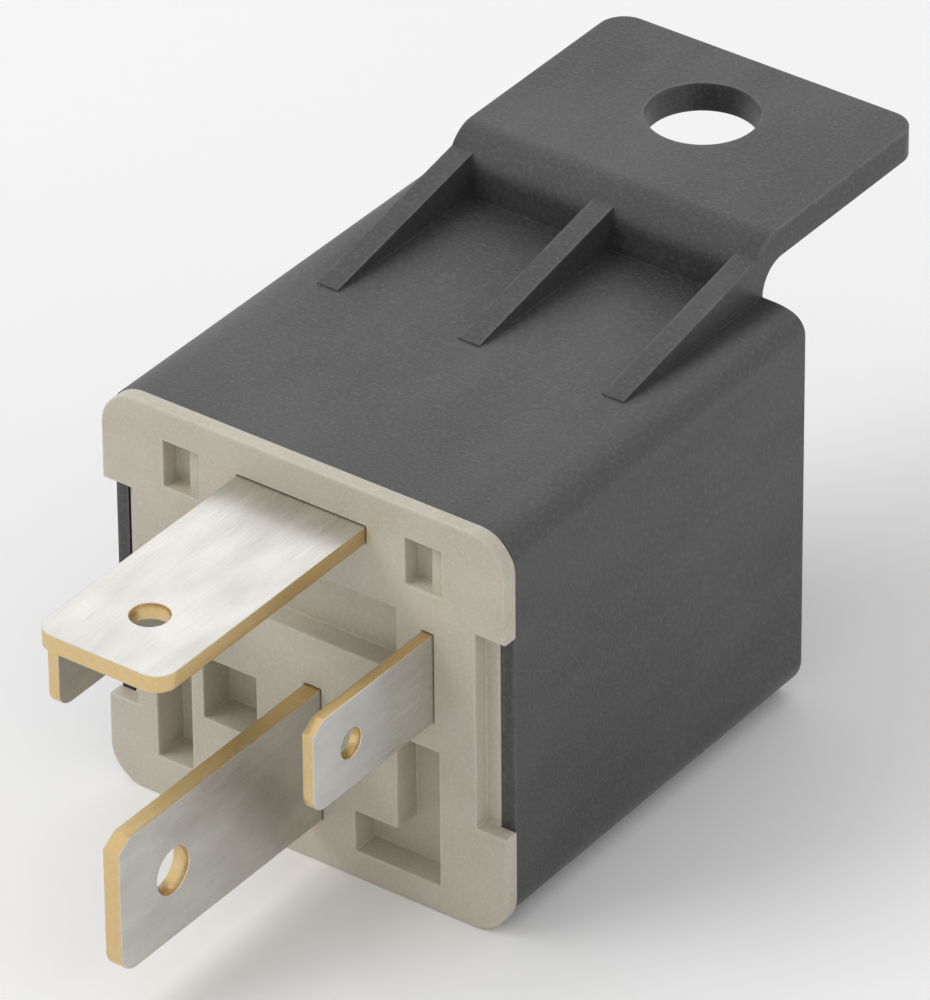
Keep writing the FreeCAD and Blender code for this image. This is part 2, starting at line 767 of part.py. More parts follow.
def make_yoke():
    body = new_body("yoke")
    top, back = YOKE_TOP, BOBBIN_FRONT
    side = sketch_on(body, "YZ_Plane")
    trace(side, [
        (YOKE_FRONT + "+yoke_outer_bend", YOKE_BOTTOM),
        (POLE_FACE, YOKE_BOTTOM),
        (POLE_FACE, top),
        (back + "+yoke_inner_bend", top, "yoke_inner_bend", "right"),
        (back, top + "+yoke_inner_bend"),
        (back, CORE_LEVEL + "+yoke_head"),
        (YOKE_FRONT, CORE_LEVEL + "+yoke_head"),
        (YOKE_FRONT, YOKE_BOTTOM + "+yoke_outer_bend", "yoke_outer_bend", "left"),
    ])
    pad(body, side, "yoke_width", symmetric=True)
    corners = [("yoke_width/2", CORE_LEVEL + "+yoke_head"), ("-yoke_width/2", CORE_LEVEL + "+yoke_head")]
    dress(body, "Chamfer", edges_along(body.Tip.Shape, 1, corners), "Size", "yoke_chamfer")
    holes = sketch_on(body, "XZ_Plane", YOKE_FRONT)
    circle(holes, "0", CORE_LEVEL, "core_tail_radius")
    for z in FOOT_RIVET_LEVELS:
        circle(holes, FOOT_RIVET_X, z, "rivet_radius+rivet_clearance")
    pocket(body, holes, "yoke_thickness")
    leg = sketch_on(body, "XY_Plane", top)
    for x in ("rivet_spacing/2", "-rivet_spacing/2"):
        circle(leg, x, POLE_FACE + "-spring_rivet_setback", "rivet_radius+rivet_clearance")
    pocket(body, leg, "yoke_thickness")
    return body


def make_core():
    head = BOBBIN_BACK
    return ring_on_axis("core", CORE_LEVEL, [
        ("0", YOKE_FRONT),
        ("core_tail_radius", YOKE_FRONT),
        ("core_tail_radius", BOBBIN_FRONT),
        ("core_radius", BOBBIN_FRONT),
        ("core_radius", head),
        ("core_head_radius", head),
        ("core_head_radius", POLE_FACE),
        ("0", POLE_FACE),
    ])


def make_bobbin():
    body = new_body("bobbin")
    body.Placement.Base = FreeCAD.Vector(0, 0, number(CORE_LEVEL))
    bind(body, "Placement.Base.z", CORE_LEVEL)
    length = BOBBIN_BACK + flip(BOBBIN_FRONT)
    front_flange = sketch_on(body, "XZ_Plane", BOBBIN_FRONT)
    rounded_rectangle(front_flange, BOBBIN_HALF, BOBBIN_HALF, "bobbin_flange_corner")
    pad(body, front_flange, "bobbin_flange_thickness", reverse=True)
    tube = sketch_on(body, "XZ_Plane", BOBBIN_FRONT)
    circle(tube, "0", "0", "core_radius+core_clearance+bobbin_tube_wall")
    pad(body, tube, length, reverse=True)
    back_flange = sketch_on(body, "XZ_Plane", BOBBIN_BACK + "-bobbin_flange_thickness")
    rounded_rectangle(back_flange, BOBBIN_HALF, BOBBIN_HALF, "bobbin_flange_corner")
    pad(body, back_flange, "bobbin_flange_thickness", reverse=True)
    bore = sketch_on(body, "XZ_Plane", BOBBIN_FRONT)
    circle(bore, "0", "0", "core_radius+core_clearance")
    pocket(body, bore, length)
    return body


def make_sleeve(label, inner, outer):
    """A ring that fills the bobbin's length between its flanges."""
    front = BOBBIN_FRONT + "+bobbin_flange_thickness+coil_clearance"
    back = BOBBIN_BACK + "-bobbin_flange_thickness-coil_clearance"
    return ring_on_axis(label, CORE_LEVEL, [(inner, front), (outer, front), (outer, back), (inner, back)])


def make_coil_lead(label, side, offset):
    """A winding end, drawn straight from the coil to the inner face of its terminal."""
    body = new_body(label)
    start = COIL_RADIUS + "+coil_tape_thickness"
    length = f"{offset}-coil_blade_thickness/2-lead_gap" + flip(start)
    section = sketch_on(body, "YZ_Plane", start if side > 0 else flip(start))
    circle(section, COIL_LEAD_STATION, COIL_LEAD_LEVEL, "lead_radius")
    pad(body, section, length, reverse=side < 0)
    return body


# Armature, spring and contacts

def make_armature():
    body = new_body("armature")
    plate = sketch_on(body, "XZ_Plane", "hinge_play")
    half = "armature_width/2"
    neck = "armature_width/2-armature_shoulder/2"
    shoulder = ARMATURE_HEIGHT + "-armature_shoulder"
    trace(plate, [
        (f"-{half}", "0"),
        (half, "0"),
        (half, shoulder),
        (neck, ARMATURE_HEIGHT),
        (flip(neck), ARMATURE_HEIGHT),
        (f"-{half}", shoulder),
    ])
    pad(body, plate, "armature_thickness", reverse=True)
    holes = sketch_on(body, "XZ_Plane", "hinge_play")
    for x in ("rivet_spacing/2", "-rivet_spacing/2"):
        circle(holes, x, RIVET_HEIGHT, "rivet_radius+rivet_clearance")
    pocket(body, holes, "armature_thickness")
    put_on_hinge(body)
    return body


def make_contact_spring():
    """A leaf bent round the yoke's end: a leg under the yoke and a tongue up the back of the armature."""
    body = new_body("contact_spring")
    body.Placement.Base = FreeCAD.Vector(0, number(POLE_FACE), number(HINGE_LEVEL))
    bind(body, "Placement.Base.y", POLE_FACE)
    bind(body, "Placement.Base.z", HINGE_LEVEL)
    sine, cosine = "sin(open_angle)", "cos(open_angle)"
    leg_top = "-yoke_thickness/2"
    leg_low = leg_top + "-spring_thickness"
    centre_z = leg_top + "+spring_bend"
    # The bend's centre keeps the tongue's front face at its distance from the hinge line.
    reach = SPRING_FRONT + "-spring_bend"
    per_cosine, tangent = f"1/{cosine}", f"{sine}/{cosine}"
    centre_y = f"{times(reach, per_cosine)}+{times(centre_z, tangent)}".replace("+-", "-")

    def on_arc(radius):
        return f"{centre_y}+{times(radius, cosine)}", f"{centre_z}-{times(radius, sine)}"

    def on_tongue(radius):
        start_y, start_z = on_arc(radius)
        return f"{start_y}+{times(SPRING_TOP, sine)}", f"{start_z}+{times(SPRING_TOP, cosine)}"

    outer = "spring_bend+spring_thickness"
    side = sketch_on(body, "YZ_Plane")
    trace(side, [
        ("-spring_leg", leg_low),
        (centre_y, leg_low, outer, "left"),
        on_arc(outer),
        on_tongue(outer),
        on_tongue("spring_bend"),
        (*on_arc("spring_bend"), "spring_bend", "right"),
        (centre_y, leg_top),
        ("-spring_leg", leg_top),
    ])
    pad(body, side, "spring_width", symmetric=True)
    trims = sketch_on(body, "XZ_Plane")
    shoulder = ARMATURE_HEIGHT + "+0.5*spring_tip"
    for near, far in (("spring_tongue_width/2", "spring_width"), ("-spring_width", "-spring_tongue_width/2")):
        rectangle(trims, near, far, shoulder, SPRING_TOP + "+spring_tip")
    pocket(body, trims, "spring_leg")
    holes = sketch_on(body, "XZ_Plane")
    lean = flip(times(SPRING_FRONT + "+0.5*spring_thickness", sine))
    for x in ("rivet_spacing/2", "-rivet_spacing/2"):
        circle(holes, x, times(RIVET_HEIGHT, cosine) + lean, "rivet_radius+rivet_clearance")
    circle(holes, "0", times(CONTACT_HEIGHT, cosine) + lean, "contact_shank_radius+rivet_clearance")
    pocket(body, holes, "spring_leg")
    leg_holes = sketch_on(body, "XY_Plane", leg_top)
    for x in ("rivet_spacing/2", "-rivet_spacing/2"):
        circle(leg_holes, x, "-spring_rivet_setback", "rivet_radius+rivet_clearance")
    pocket(body, leg_holes, "spring_thickness")
    return body


def contact_profile(face, back, tail, radius):
    """Contact rivet: crowned head from face to back, shank, then a flat tail past the far side."""
    inward = "+" if number(back) > number(face) else "-"
    crown = f"{face}{inward}contact_crown"
    end = f"{tail}{inward}contact_tail_thickness"
    return [
        ("0", face),
        (f"{radius}-3*contact_crown", face),
        (radius, crown),
        (radius, back),
        ("contact_shank_radius", back),
        ("contact_shank_radius", tail),
        ("contact_tail_radius", tail),
        ("contact_tail_radius", end),
        ("0", end),
    ]


def make_moving_contact():
    face = SPRING_FRONT + "-moving_contact_thickness"
    profile = contact_profile(face, SPRING_FRONT, SPRING_BACK, "moving_contact_radius")
    body = ring_on_axis("moving_contact", CONTACT_HEIGHT, profile)
    put_on_hinge(body)
    return body


def make_fixed_contact():
    face = MAKE_TAB_BACK + "+fixed_contact_thickness"
    profile = contact_profile(face, MAKE_TAB_BACK, MAKE_TAB_FRONT, "fixed_contact_radius")
    return ring_on_axis("fixed_contact", CONTACT_LEVEL, profile)


def make_shunt_braid():
    """Flat braid from the foot of terminal 30, past the coil, to the back of the spring."""
    body = new_body("shunt_braid")
    level = flip("braid_level")
    front = YOKE_FRONT + "+braid_gap"
    height_on_spring = level + flip(HINGE_LEVEL) + "+braid_width/2"
    seat = f"{POLE_FACE}+{SPRING_BACK}+{times(height_on_spring, 'sin(open_angle)')}+braid_gap"
    outer = "-braid_offset-braid_thickness/2"
    inner = "-braid_offset+braid_thickness/2"
    start = "-yoke_width/2-lead_gap"
    wide, tight = "braid_bend+braid_thickness", "braid_bend"
    flat = sketch_on(body, "XY_Plane", f"{level}-braid_width/2")
    trace(flat, [
        (start, front),
        (start, front + "+braid_thickness"),
        (f"{inner}+{tight}", front + "+braid_thickness", tight, "right"),
        (inner, f"{front}+{wide}"),
        (inner, f"{seat}-{tight}", tight, "right"),
        (f"{inner}+{tight}", seat),
        ("-braid_seat", seat),
        ("-braid_seat", seat + "+braid_thickness"),
        (f"{inner}+{tight}", seat + "+braid_thickness", wide, "left"),
        (outer, f"{seat}-{tight}"),
        (outer, f"{front}+{wide}", wide, "left"),
        (f"{inner}+{tight}", front),
    ])
    pad(body, flat, "braid_width")
    return body


# Suppression resistor

def make_resistor():
    body = new_body("suppression_resistor")
    body.Placement.Base = FreeCAD.Vector(0, number(RESISTOR_STATION), number(RESISTOR_LEVEL))
    bind(body, "Placement.Base.y", RESISTOR_STATION)
    bind(body, "Placement.Base.z", RESISTOR_LEVEL)
    end, neck = "resistor_length/2", "resistor_length/2-resistor_cap"
    slope = neck + "-resistor_radius+resistor_waist"
    profile = sketch_on(body, "XY_Plane")
    trace(profile, [
        (f"-{end}", "0"),
        (f"-{end}", "resistor_radius"),
        (flip(neck), "resistor_radius"),
        (flip(slope), "resistor_waist"),
        (slope, "resistor_waist"),
        (neck, "resistor_radius"),
        (end, "resistor_radius"),
        (end, "0"),
    ])
    revolve(body, profile, "H_Axis")
    return body


def make_resistor_leads():
    """Straight leads from the resistor's caps to the inner faces of the two coil terminals."""
    leads = []
    for name, start, offset, reverse in (
        ("right", "resistor_length/2", "right_blade_offset", False),
        ("left", "-resistor_length/2", "left_blade_offset", True),
    ):
        body = new_body(f"{name}_resistor_lead")
        section = sketch_on(body, "YZ_Plane", start)
        circle(section, RESISTOR_STATION, RESISTOR_LEVEL, "resistor_lead_radius")
        pad(body, section, f"{offset}-coil_blade_thickness/2-resistor_length/2", reverse=reverse)
        leads.append(body)
    return compound("resistor_leads", leads)


def make_rivets():
    half = "rivet_spacing/2"
    yoke_pair = mirrored_pair("yoke_rivets", rivet(
        "yoke_rivet", half, POLE_FACE + "-spring_rivet_setback", YOKE_TOP, YOKE_BOTTOM + "-spring_thickness", "Z",
    ))
    armature_pair = mirrored_pair("armature_rivets", rivet(
        "armature_rivet", half, RIVET_HEIGHT, "hinge_play", SPRING_BACK, "Y",
    ))
    put_on_hinge(armature_pair)
    return [yoke_pair, armature_pair]


def make_foot_rivets():
    """Flush rivets that fix the foot of terminal 30 to the yoke's upright plate."""
    rivets = []
    for count, level in enumerate(FOOT_RIVET_LEVELS, start=1):
        body = new_body(f"foot_rivet_{count}")
        sketch = sketch_on(body, "XZ_Plane", "base_depth")
        circle(sketch, FOOT_RIVET_X, level, "rivet_radius")
        pad(body, sketch, "blade_thickness+yoke_thickness", reverse=True)
        rivets.append(body)
    return compound("foot_rivets", rivets)


nodes = [
    make_cover(),
    make_base(),
    make_make_terminal(),
    make_feed_terminal(),
    make_coil_terminal("terminal_85", "right_blade_offset"),
    make_coil_terminal("terminal_86", "-left_blade_offset"),
    make_yoke(),
    make_core(),
    make_bobbin(),
    make_sleeve("coil_winding", "core_radius+core_clearance+bobbin_tube_wall+coil_clearance", COIL_RADIUS),
    make_sleeve("coil_tape", COIL_RADIUS, COIL_RADIUS + "+coil_tape_thickness"),
    make_coil_lead("coil_lead_85", 1, "right_blade_offset"),
    make_coil_lead("coil_lead_86", -1, "left_blade_offset"),
    make_armature(),
    make_contact_spring(),
    make_moving_contact(),
    make_fixed_contact(),
    make_shunt_braid(),
    make_resistor(),
    make_resistor_leads(),
    *make_rivets(),
    make_foot_rivets(),
]

DOC.recompute()
for item in DOC.Objects:
    if {"Invalid", "Error"} & set(item.State):
        raise RuntimeError(f"{item.Name} failed: {item.State}")

os.makedirs("parts", exist_ok=True)
for node in nodes:
    shape = node.Shape
    if shape.isNull() or not shape.isValid():
        raise RuntimeError(f"{node.Label} has no valid shape")
    shape.exportStep(os.path.join("parts", f"{node.Label}.step"))
    print(f"{node.Label}: {len(shape.Solids)} solid(s), {shape.Volume:.1f} mm3")
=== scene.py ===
import math

import bmesh
import bpy
from mathutils import Matrix, Vector


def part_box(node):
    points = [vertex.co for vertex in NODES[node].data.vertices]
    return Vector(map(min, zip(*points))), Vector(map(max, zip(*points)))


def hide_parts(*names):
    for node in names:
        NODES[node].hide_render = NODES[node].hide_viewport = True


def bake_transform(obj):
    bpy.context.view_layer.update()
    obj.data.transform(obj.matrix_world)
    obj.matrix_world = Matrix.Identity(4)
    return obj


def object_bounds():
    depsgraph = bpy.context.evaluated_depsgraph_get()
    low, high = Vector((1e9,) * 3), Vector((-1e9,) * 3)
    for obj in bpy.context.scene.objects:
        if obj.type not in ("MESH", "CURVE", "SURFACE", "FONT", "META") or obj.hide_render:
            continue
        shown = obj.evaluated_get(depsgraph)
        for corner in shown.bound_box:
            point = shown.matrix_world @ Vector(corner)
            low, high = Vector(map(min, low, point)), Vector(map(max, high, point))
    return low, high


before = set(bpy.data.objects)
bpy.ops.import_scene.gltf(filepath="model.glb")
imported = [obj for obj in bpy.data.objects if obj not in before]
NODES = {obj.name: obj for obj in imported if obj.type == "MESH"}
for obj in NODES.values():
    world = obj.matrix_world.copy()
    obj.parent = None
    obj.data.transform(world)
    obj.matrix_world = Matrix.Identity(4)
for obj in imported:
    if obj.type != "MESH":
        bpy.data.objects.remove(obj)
cad_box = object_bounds()

# Lengths are in metres and angles in radians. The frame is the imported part's own: the terminals
# stand out towards -Y, the closed end of the cover lies towards +Y and the tab side is up.

MM = 0.001


def add_object(name, data):
    """Makes an object and links it to the scene."""
    item = bpy.data.objects.new(name, data)
    bpy.context.scene.collection.objects.link(item)
    return item


# Camera. Its place and lens were fitted to the drawing: the point TARGET shows TARGET_U pixels
# from the left and TARGET_V from the top, and a metre there is PIXELS_PER_METRE pixels long.
# Blender takes the lens and the sensor in millimetres.

IMAGE_WIDTH, IMAGE_HEIGHT = 930, 1000
YAW, PITCH, ROLL = 0.6349, 0.588, -0.0085
TARGET = Vector((0.0, 13.0 * MM, -0.15 * MM))
TARGET_U, TARGET_V = 432.483, 566.225
DISTANCE = 639.66 * MM
PIXELS_PER_METRE = 16.5247 / MM
SENSOR = 36.0
CLIP_START, CLIP_END = 0.01, 20.0


def make_camera():
    right = Vector((math.cos(YAW), math.sin(YAW), 0.0))
    back = Vector(
        (math.sin(YAW) * math.cos(PITCH), -math.cos(YAW) * math.cos(PITCH), math.sin(PITCH))
    )
    up = back.cross(right)
    c, s = math.cos(ROLL), math.sin(ROLL)
    right, up = right * c + up * s, up * c - right * s
    across = (TARGET_U - IMAGE_WIDTH / 2) / PIXELS_PER_METRE
    above = -(TARGET_V - IMAGE_HEIGHT / 2) / PIXELS_PER_METRE
    place = TARGET - right * across - up * above + back * DISTANCE
    turned = Matrix((right, up, back)).transposed().to_4x4()
    lens = bpy.data.cameras.new("camera")
    lens.sensor_width = SENSOR
    lens.lens = PIXELS_PER_METRE * DISTANCE * SENSOR / max(IMAGE_WIDTH, IMAGE_HEIGHT)
    lens.clip_start, lens.clip_end = CLIP_START, CLIP_END
    camera = add_object("camera", lens)
    camera.matrix_world = Matrix.Translation(place) @ turned
    bpy.context.scene.camera = camera


make_camera()


# Node helper. Outer edges, made paler by a painted highlight and by rubbing, are found by the bend
# of a rounded normal. How much open air is round them, out to AIR_REACH times the rounding's
# radius, tells outer edges from inner corners.

EVEN = (1.0, 1.0, 1.0)
NOISE_LOW, NOISE_HIGH = 0.3, 0.7
BEVEL_SAMPLES = 6
AIR_SAMPLES = 8
AIR_REACH = 1.6
AIR_LOW, AIR_HIGH = 0.80, 0.97


class Tree:
    """Adds nodes to a node tree. An input may be a number, a colour or another node's output."""

    def __init__(self, tree):
        self.tree = tree
        tree.nodes.clear()

    def add(self, kind, inputs=None, **settings):
        node = self.tree.nodes.new(kind)
        for name, value in settings.items():
            setattr(node, name, value)
        for key, value in (inputs or {}).items():
            if isinstance(value, bpy.types.NodeSocket):
                self.tree.links.new(value, node.inputs[key])
            else:
                node.inputs[key].default_value = value
        return node

    def maths(self, operation, a, b=0.0, clamp=False):
        node = self.add("ShaderNodeMath", {0: a, 1: b}, operation=operation, use_clamp=clamp)
        return node.outputs[0]

    def remap(self, value, low, high, to_low=0.0, to_high=1.0, smooth=False):
        """Turns the range low to high into to_low to to_high, and holds it at both ends."""
        ranges = {"From Min": low, "From Max": high, "To Min": to_low, "To Max": to_high}
        node = self.add(
            "ShaderNodeMapRange",
            {"Value": value, **ranges},
            interpolation_type="SMOOTHSTEP" if smooth else "LINEAR",
        )
        return node.outputs["Result"]

    def spread(self, noise, to_low=0.0, to_high=1.0):
        """Remaps the range in which most of a noise lies."""
        return self.remap(noise, NOISE_LOW, NOISE_HIGH, to_low, to_high)

    def mix(self, share, first, second):
        """Mixes two colours. The node's sockets 6 and 7 and its output 2 are the colour ones."""
        node = self.add("ShaderNodeMix", {0: share, 6: first, 7: second}, data_type="RGBA")
        return node.outputs[2]

    def noise(self, where, size, detail=2.0, roughness=0.5, stretch=EVEN):
        """Noise whose blotches are about size metres across, drawn out by stretch."""
        scale = [1.0 / (size * k) for k in stretch]
        scaled = self.add("ShaderNodeMapping", {"Vector": where, "Scale": scale})
        node = self.add(
            "ShaderNodeTexNoise",
            {"Vector": scaled.outputs[0], "Scale": 1.0, "Detail": detail, "Roughness": roughness},
        )
        return node.outputs["Fac"]

    def bump(self, height, distance, strength, normal=None):
        inputs = {"Height": height, "Distance": distance, "Strength": strength}
        if normal is not None:
            inputs["Normal"] = normal
        return self.add("ShaderNodeBump", inputs).outputs["Normal"]

    def place(self):
        return self.add("ShaderNodeTexCoord").outputs["Object"]

    def facing(self):
        return self.add("ShaderNodeNewGeometry").outputs["Normal"]

    def along(self, vector, axis):
        return self.add("ShaderNodeSeparateXYZ", {"Vector": vector}).outputs[axis]

    def edges(self, radius, low, high):
        """1 on outer edges, for a painted highlight and rubbing; 0 on flats and in inner corners.
        """
        soft = self.add("ShaderNodeBevel", {"Radius": radius}, samples=BEVEL_SAMPLES)
        alike = self.add(
            "ShaderNodeVectorMath",
            {0: soft.outputs["Normal"], 1: self.facing()},
            operation="DOT_PRODUCT",
        )
        bent = self.remap(alike.outputs["Value"], 1.0 - low, 1.0 - high, smooth=True)
        air = self.add(
            "ShaderNodeAmbientOcclusion", {"Distance": AIR_REACH * radius}, samples=AIR_SAMPLES
        )
        return self.maths("MULTIPLY", bent, self.remap(air.outputs["AO"], AIR_LOW, AIR_HIGH))

    def seen(self):
        """1 for what the camera sees, also mirrored or through glass, and 0 for what lights."""
        path = self.add("ShaderNodeLightPath").outputs
        direct = self.maths("MAXIMUM", path["Is Camera Ray"], path["Is Glossy Ray"])
        return self.maths("MAXIMUM", direct, path["Is Transmission Ray"])


def colour(red, green, blue):
    return (red, green, blue, 1.0)


def grey(level):
    return colour(level, level, level)


def new_material(name):
    material = bpy.data.materials.new(name)
    material.use_nodes = True
    return material, Tree(material.node_tree)


def finish_material(tree, inputs):
    surface = tree.add("ShaderNodeBsdfPrincipled", inputs)
    tree.add("ShaderNodeOutputMaterial", {"Surface": surface.outputs["BSDF"]})


# Materials. Noise sizes are lengths on the part. The two numbers after the noise in a remap are
# where the effect starts and where it is full. A tint is the share of the second colour. Each
# roughness varies from SMOOTHER below the material's own to ROUGHER above it.

PLASTIC_IOR = 1.53
PLASTIC_SMOOTHER, PLASTIC_ROUGHER = 0.05, 0.06
METAL_SMOOTHER, METAL_ROUGHER = 0.06, 0.08
FLECK_TINT = 0.35
# How much paler edges get, partly rubbing and partly a painted highlight, and their extra gloss.
RUBBED_AND_HIGHLIT_TINT, RUBBED_SHINE = 0.75, 0.10
SCUFF_DULLNESS = 0.12
LINE_TINT = 0.30
BARE_TINT_LOW, BARE_TINT_HIGH = 0.78, 1.0
RUB_DULLNESS = 0.14
# How far plated edges lean to the brighter plate colour, a painted highlight.
PLATED_EDGE_HIGHLIGHT_TINT = 0.5
TURN_DRIFT = 0.8
# How dark the painted shade in the gaps of the winding's turns gets.
TURN_GAP_SHADE_TINT = 0.85
BETWEEN_WIRES_TINT = 0.35
BAND_WOBBLE = 0.12 * MM
BAND_FULL, BAND_END = 0.20 * MM, 0.26 * MM


def moulded_plastic(name, tone, shade, worn_and_highlit, rough, grain, grain_depth, flow=EVEN):
    """Moulded plastic: a spark-eroded grain, faint flow marks, scuffs and paler edges, which are
    partly rubbing and partly a painted highlight.
    """
    material, t = new_material(name)
    where = t.place()
    cloud = t.noise(where, 5.0 * MM, detail=4.0, stretch=flow)
    fleck = t.noise(where, 0.25 * MM, detail=1.0)
    patch = t.noise(where, 1.2 * MM, detail=3.0)
    hair = t.noise(where, 0.12 * MM, stretch=(1.0, 22.0, 3.0))
    pits = t.noise(where, grain, roughness=0.6)
    waves = t.noise(where, 3.5 * MM, detail=1.0, stretch=flow)
    edges = t.edges(0.50 * MM, low=0.02, high=0.24)
    # Outer edges, paler in patches: partly rubbing and partly a painted highlight.
    rubbed_and_highlit = t.maths("MULTIPLY", edges, t.remap(patch, 0.30, 0.55))
    scuff = t.maths("MULTIPLY", t.remap(hair, 0.66, 0.72), t.remap(patch, 0.52, 0.66))
    body = t.mix(t.remap(cloud, 0.32, 0.68), tone, shade)
    body = t.mix(t.remap(fleck, 0.45, 0.75, to_high=FLECK_TINT), body, worn_and_highlit)
    # Paints the outer edges paler: partly rubbing, partly a painted highlight.
    body = t.mix(t.maths("MULTIPLY", rubbed_and_highlit, RUBBED_AND_HIGHLIT_TINT), body, worn_and_highlit)
    gloss = t.spread(cloud, rough - PLASTIC_SMOOTHER, rough + PLASTIC_ROUGHER)
    gloss = t.maths("SUBTRACT", gloss, t.maths("MULTIPLY", rubbed_and_highlit, RUBBED_SHINE))
    gloss = t.maths("ADD", gloss, t.maths("MULTIPLY", scuff, SCUFF_DULLNESS), clamp=True)
    normal = t.bump(waves, distance=0.03 * MM, strength=0.6)
    normal = t.bump(pits, distance=grain_depth, strength=0.9, normal=normal)
    finish_material(
        t,
        {
            "Base Color": body,
            "Roughness": gloss,
            "Normal": normal,
            "IOR": PLASTIC_IOR,
            "Specular IOR Level": 0.5,
        },
    )
    return material


def plated_strip(name, plate, stain, rough, cut=None, flat_axis=None):
    """Rolled, plated strip: rolling lines along Y and stains. Where flat_axis names the axis
    across the flat faces, the sheared edges show the base metal, cut."""
    material, t = new_material(name)
    where = t.place()
    lines = t.noise(where, 0.05 * MM, detail=3.0, stretch=(1.0, 60.0, 1.0))
    broad = t.noise(where, 2.4 * MM, detail=3.0, stretch=(1.0, 2.5, 1.0))
    rubs = t.noise(where, 0.10 * MM, detail=1.0, stretch=(1.0, 40.0, 1.0))
    skin = t.mix(t.remap(broad, 0.35, 0.70), plate, stain)
    skin = t.mix(t.remap(lines, 0.35, 0.75, to_high=LINE_TINT), skin, stain)
    if flat_axis is not None:
        flatness = t.maths("ABSOLUTE", t.along(t.facing(), flat_axis))
        sheared = t.maths("SUBTRACT", 1.0, t.remap(flatness, 0.35, 0.75))
        ragged = t.noise(where, 0.45 * MM, stretch=(1.0, 4.0, 1.0))
        bare = t.spread(ragged, BARE_TINT_LOW, BARE_TINT_HIGH)
        skin = t.mix(t.maths("MULTIPLY", sheared, bare), skin, cut)
    gloss = t.spread(lines, rough - METAL_SMOOTHER, rough + METAL_ROUGHER)
    dull = t.remap(rubs, 0.60, 0.72, to_high=RUB_DULLNESS)
    gloss = t.maths("ADD", gloss, dull, clamp=True)
    normal = t.bump(lines, distance=0.004 * MM, strength=0.7)
    normal = t.bump(broad, distance=0.010 * MM, strength=0.4, normal=normal)
    finish_material(
        t, {"Base Color": skin, "Metallic": 1.0, "Roughness": gloss, "Normal": normal}
    )
    return material


def plated_metal(name, plate, stain, rough):
    """Barrel-plated metal: a crystalline mottling and softened edges, painted brighter as a
    highlight.
    """
    material, t = new_material(name)
    where = t.place()
    mottle = t.noise(where, 1.5 * MM, detail=4.0, roughness=0.6)
    fine = t.noise(where, 0.12 * MM)
    edges = t.edges(0.15 * MM, low=0.03, high=0.3)
    skin = t.mix(t.remap(mottle, 0.35, 0.68), plate, stain)
    # Painted highlight: outer edges lean towards the brighter plate colour.
    skin = t.mix(t.maths("MULTIPLY", edges, PLATED_EDGE_HIGHLIGHT_TINT), skin, plate)
    gloss = t.spread(mottle, rough - METAL_SMOOTHER, rough + METAL_ROUGHER)
    normal = t.bump(fine, distance=0.006 * MM, strength=0.8)
    finish_material(
        t, {"Base Color": skin, "Metallic": 1.0, "Roughness": gloss, "Normal": normal}
    )
    return material


def wound_wire(name, enamel, deep, turn_gap_shade, pitch):
    """Enamelled wire wound round the depth axis: rounded turns and painted shade in their gaps."""
    material, t = new_material(name)
    where = t.place()
    drift = t.noise(where, 4.0 * MM, detail=1.0)
    tint = t.noise(where, 0.9 * MM, detail=3.0)
    turns = t.maths("DIVIDE", t.along(where, "Y"), pitch)
    phase = t.maths("ADD", turns, t.maths("MULTIPLY", drift, TURN_DRIFT))
    crown = t.maths("ABSOLUTE", t.maths("SINE", t.maths("MULTIPLY", phase, math.pi)))
    skin = t.mix(t.remap(tint, 0.35, 0.7), enamel, deep)
    # Painted shade in the gaps of the turns, darkest midway from one crown to the next.
    skin = t.mix(t.remap(crown, 0.0, 0.45, TURN_GAP_SHADE_TINT, 0.0), skin, turn_gap_shade)
    finish_material(
        t,
        {
            "Base Color": skin,
            "Metallic": 0.75,
            "Roughness": t.spread(tint, 0.22, 0.34),
            "Normal": t.bump(crown, distance=0.08 * MM, strength=0.9),
            "Coat Weight": 0.5,
            "Coat Roughness": 0.1,
        },
    )
    return material


def film_tape(name, tone, shade):
    """Polyester film wrapped round the coil: slight wrinkles and a cloudy tone."""
    material, t = new_material(name)
    where = t.place()
    crease = t.noise(where, 1.6 * MM, detail=3.0, stretch=(1.0, 3.0, 1.0))
    cloud = t.noise(where, 3.0 * MM)
    finish_material(
        t,
        {
            "Base Color": t.mix(t.spread(cloud), tone, shade),
            "Roughness": t.spread(crease, 0.14, 0.28),
            "Normal": t.bump(crease, distance=0.08 * MM, strength=0.6),
            "Coat Weight": 0.4,
            "Coat Roughness": 0.08,
        },
    )
    return material


def stranded_copper(name, bright, tarnish):
    """Bare copper strand: fine wires along the braid, browner where it has tarnished."""
    material, t = new_material(name)
    where = t.place()
    tint = t.noise(where, 0.9 * MM, detail=4.0)
    wires = t.noise(where, 0.06 * MM, detail=1.0, stretch=(1.0, 6.0, 1.0))
    skin = t.mix(t.remap(tint, 0.35, 0.7), bright, tarnish)
    skin = t.mix(t.remap(wires, 0.40, 0.60, BETWEEN_WIRES_TINT, 0.0), skin, tarnish)
    finish_material(
        t,
        {
            "Base Color": skin,
            "Metallic": 1.0,
            "Roughness": t.spread(tint, 0.28, 0.44),
            "Normal": t.bump(wires, distance=0.012 * MM, strength=0.7),
        },
    )
    return material


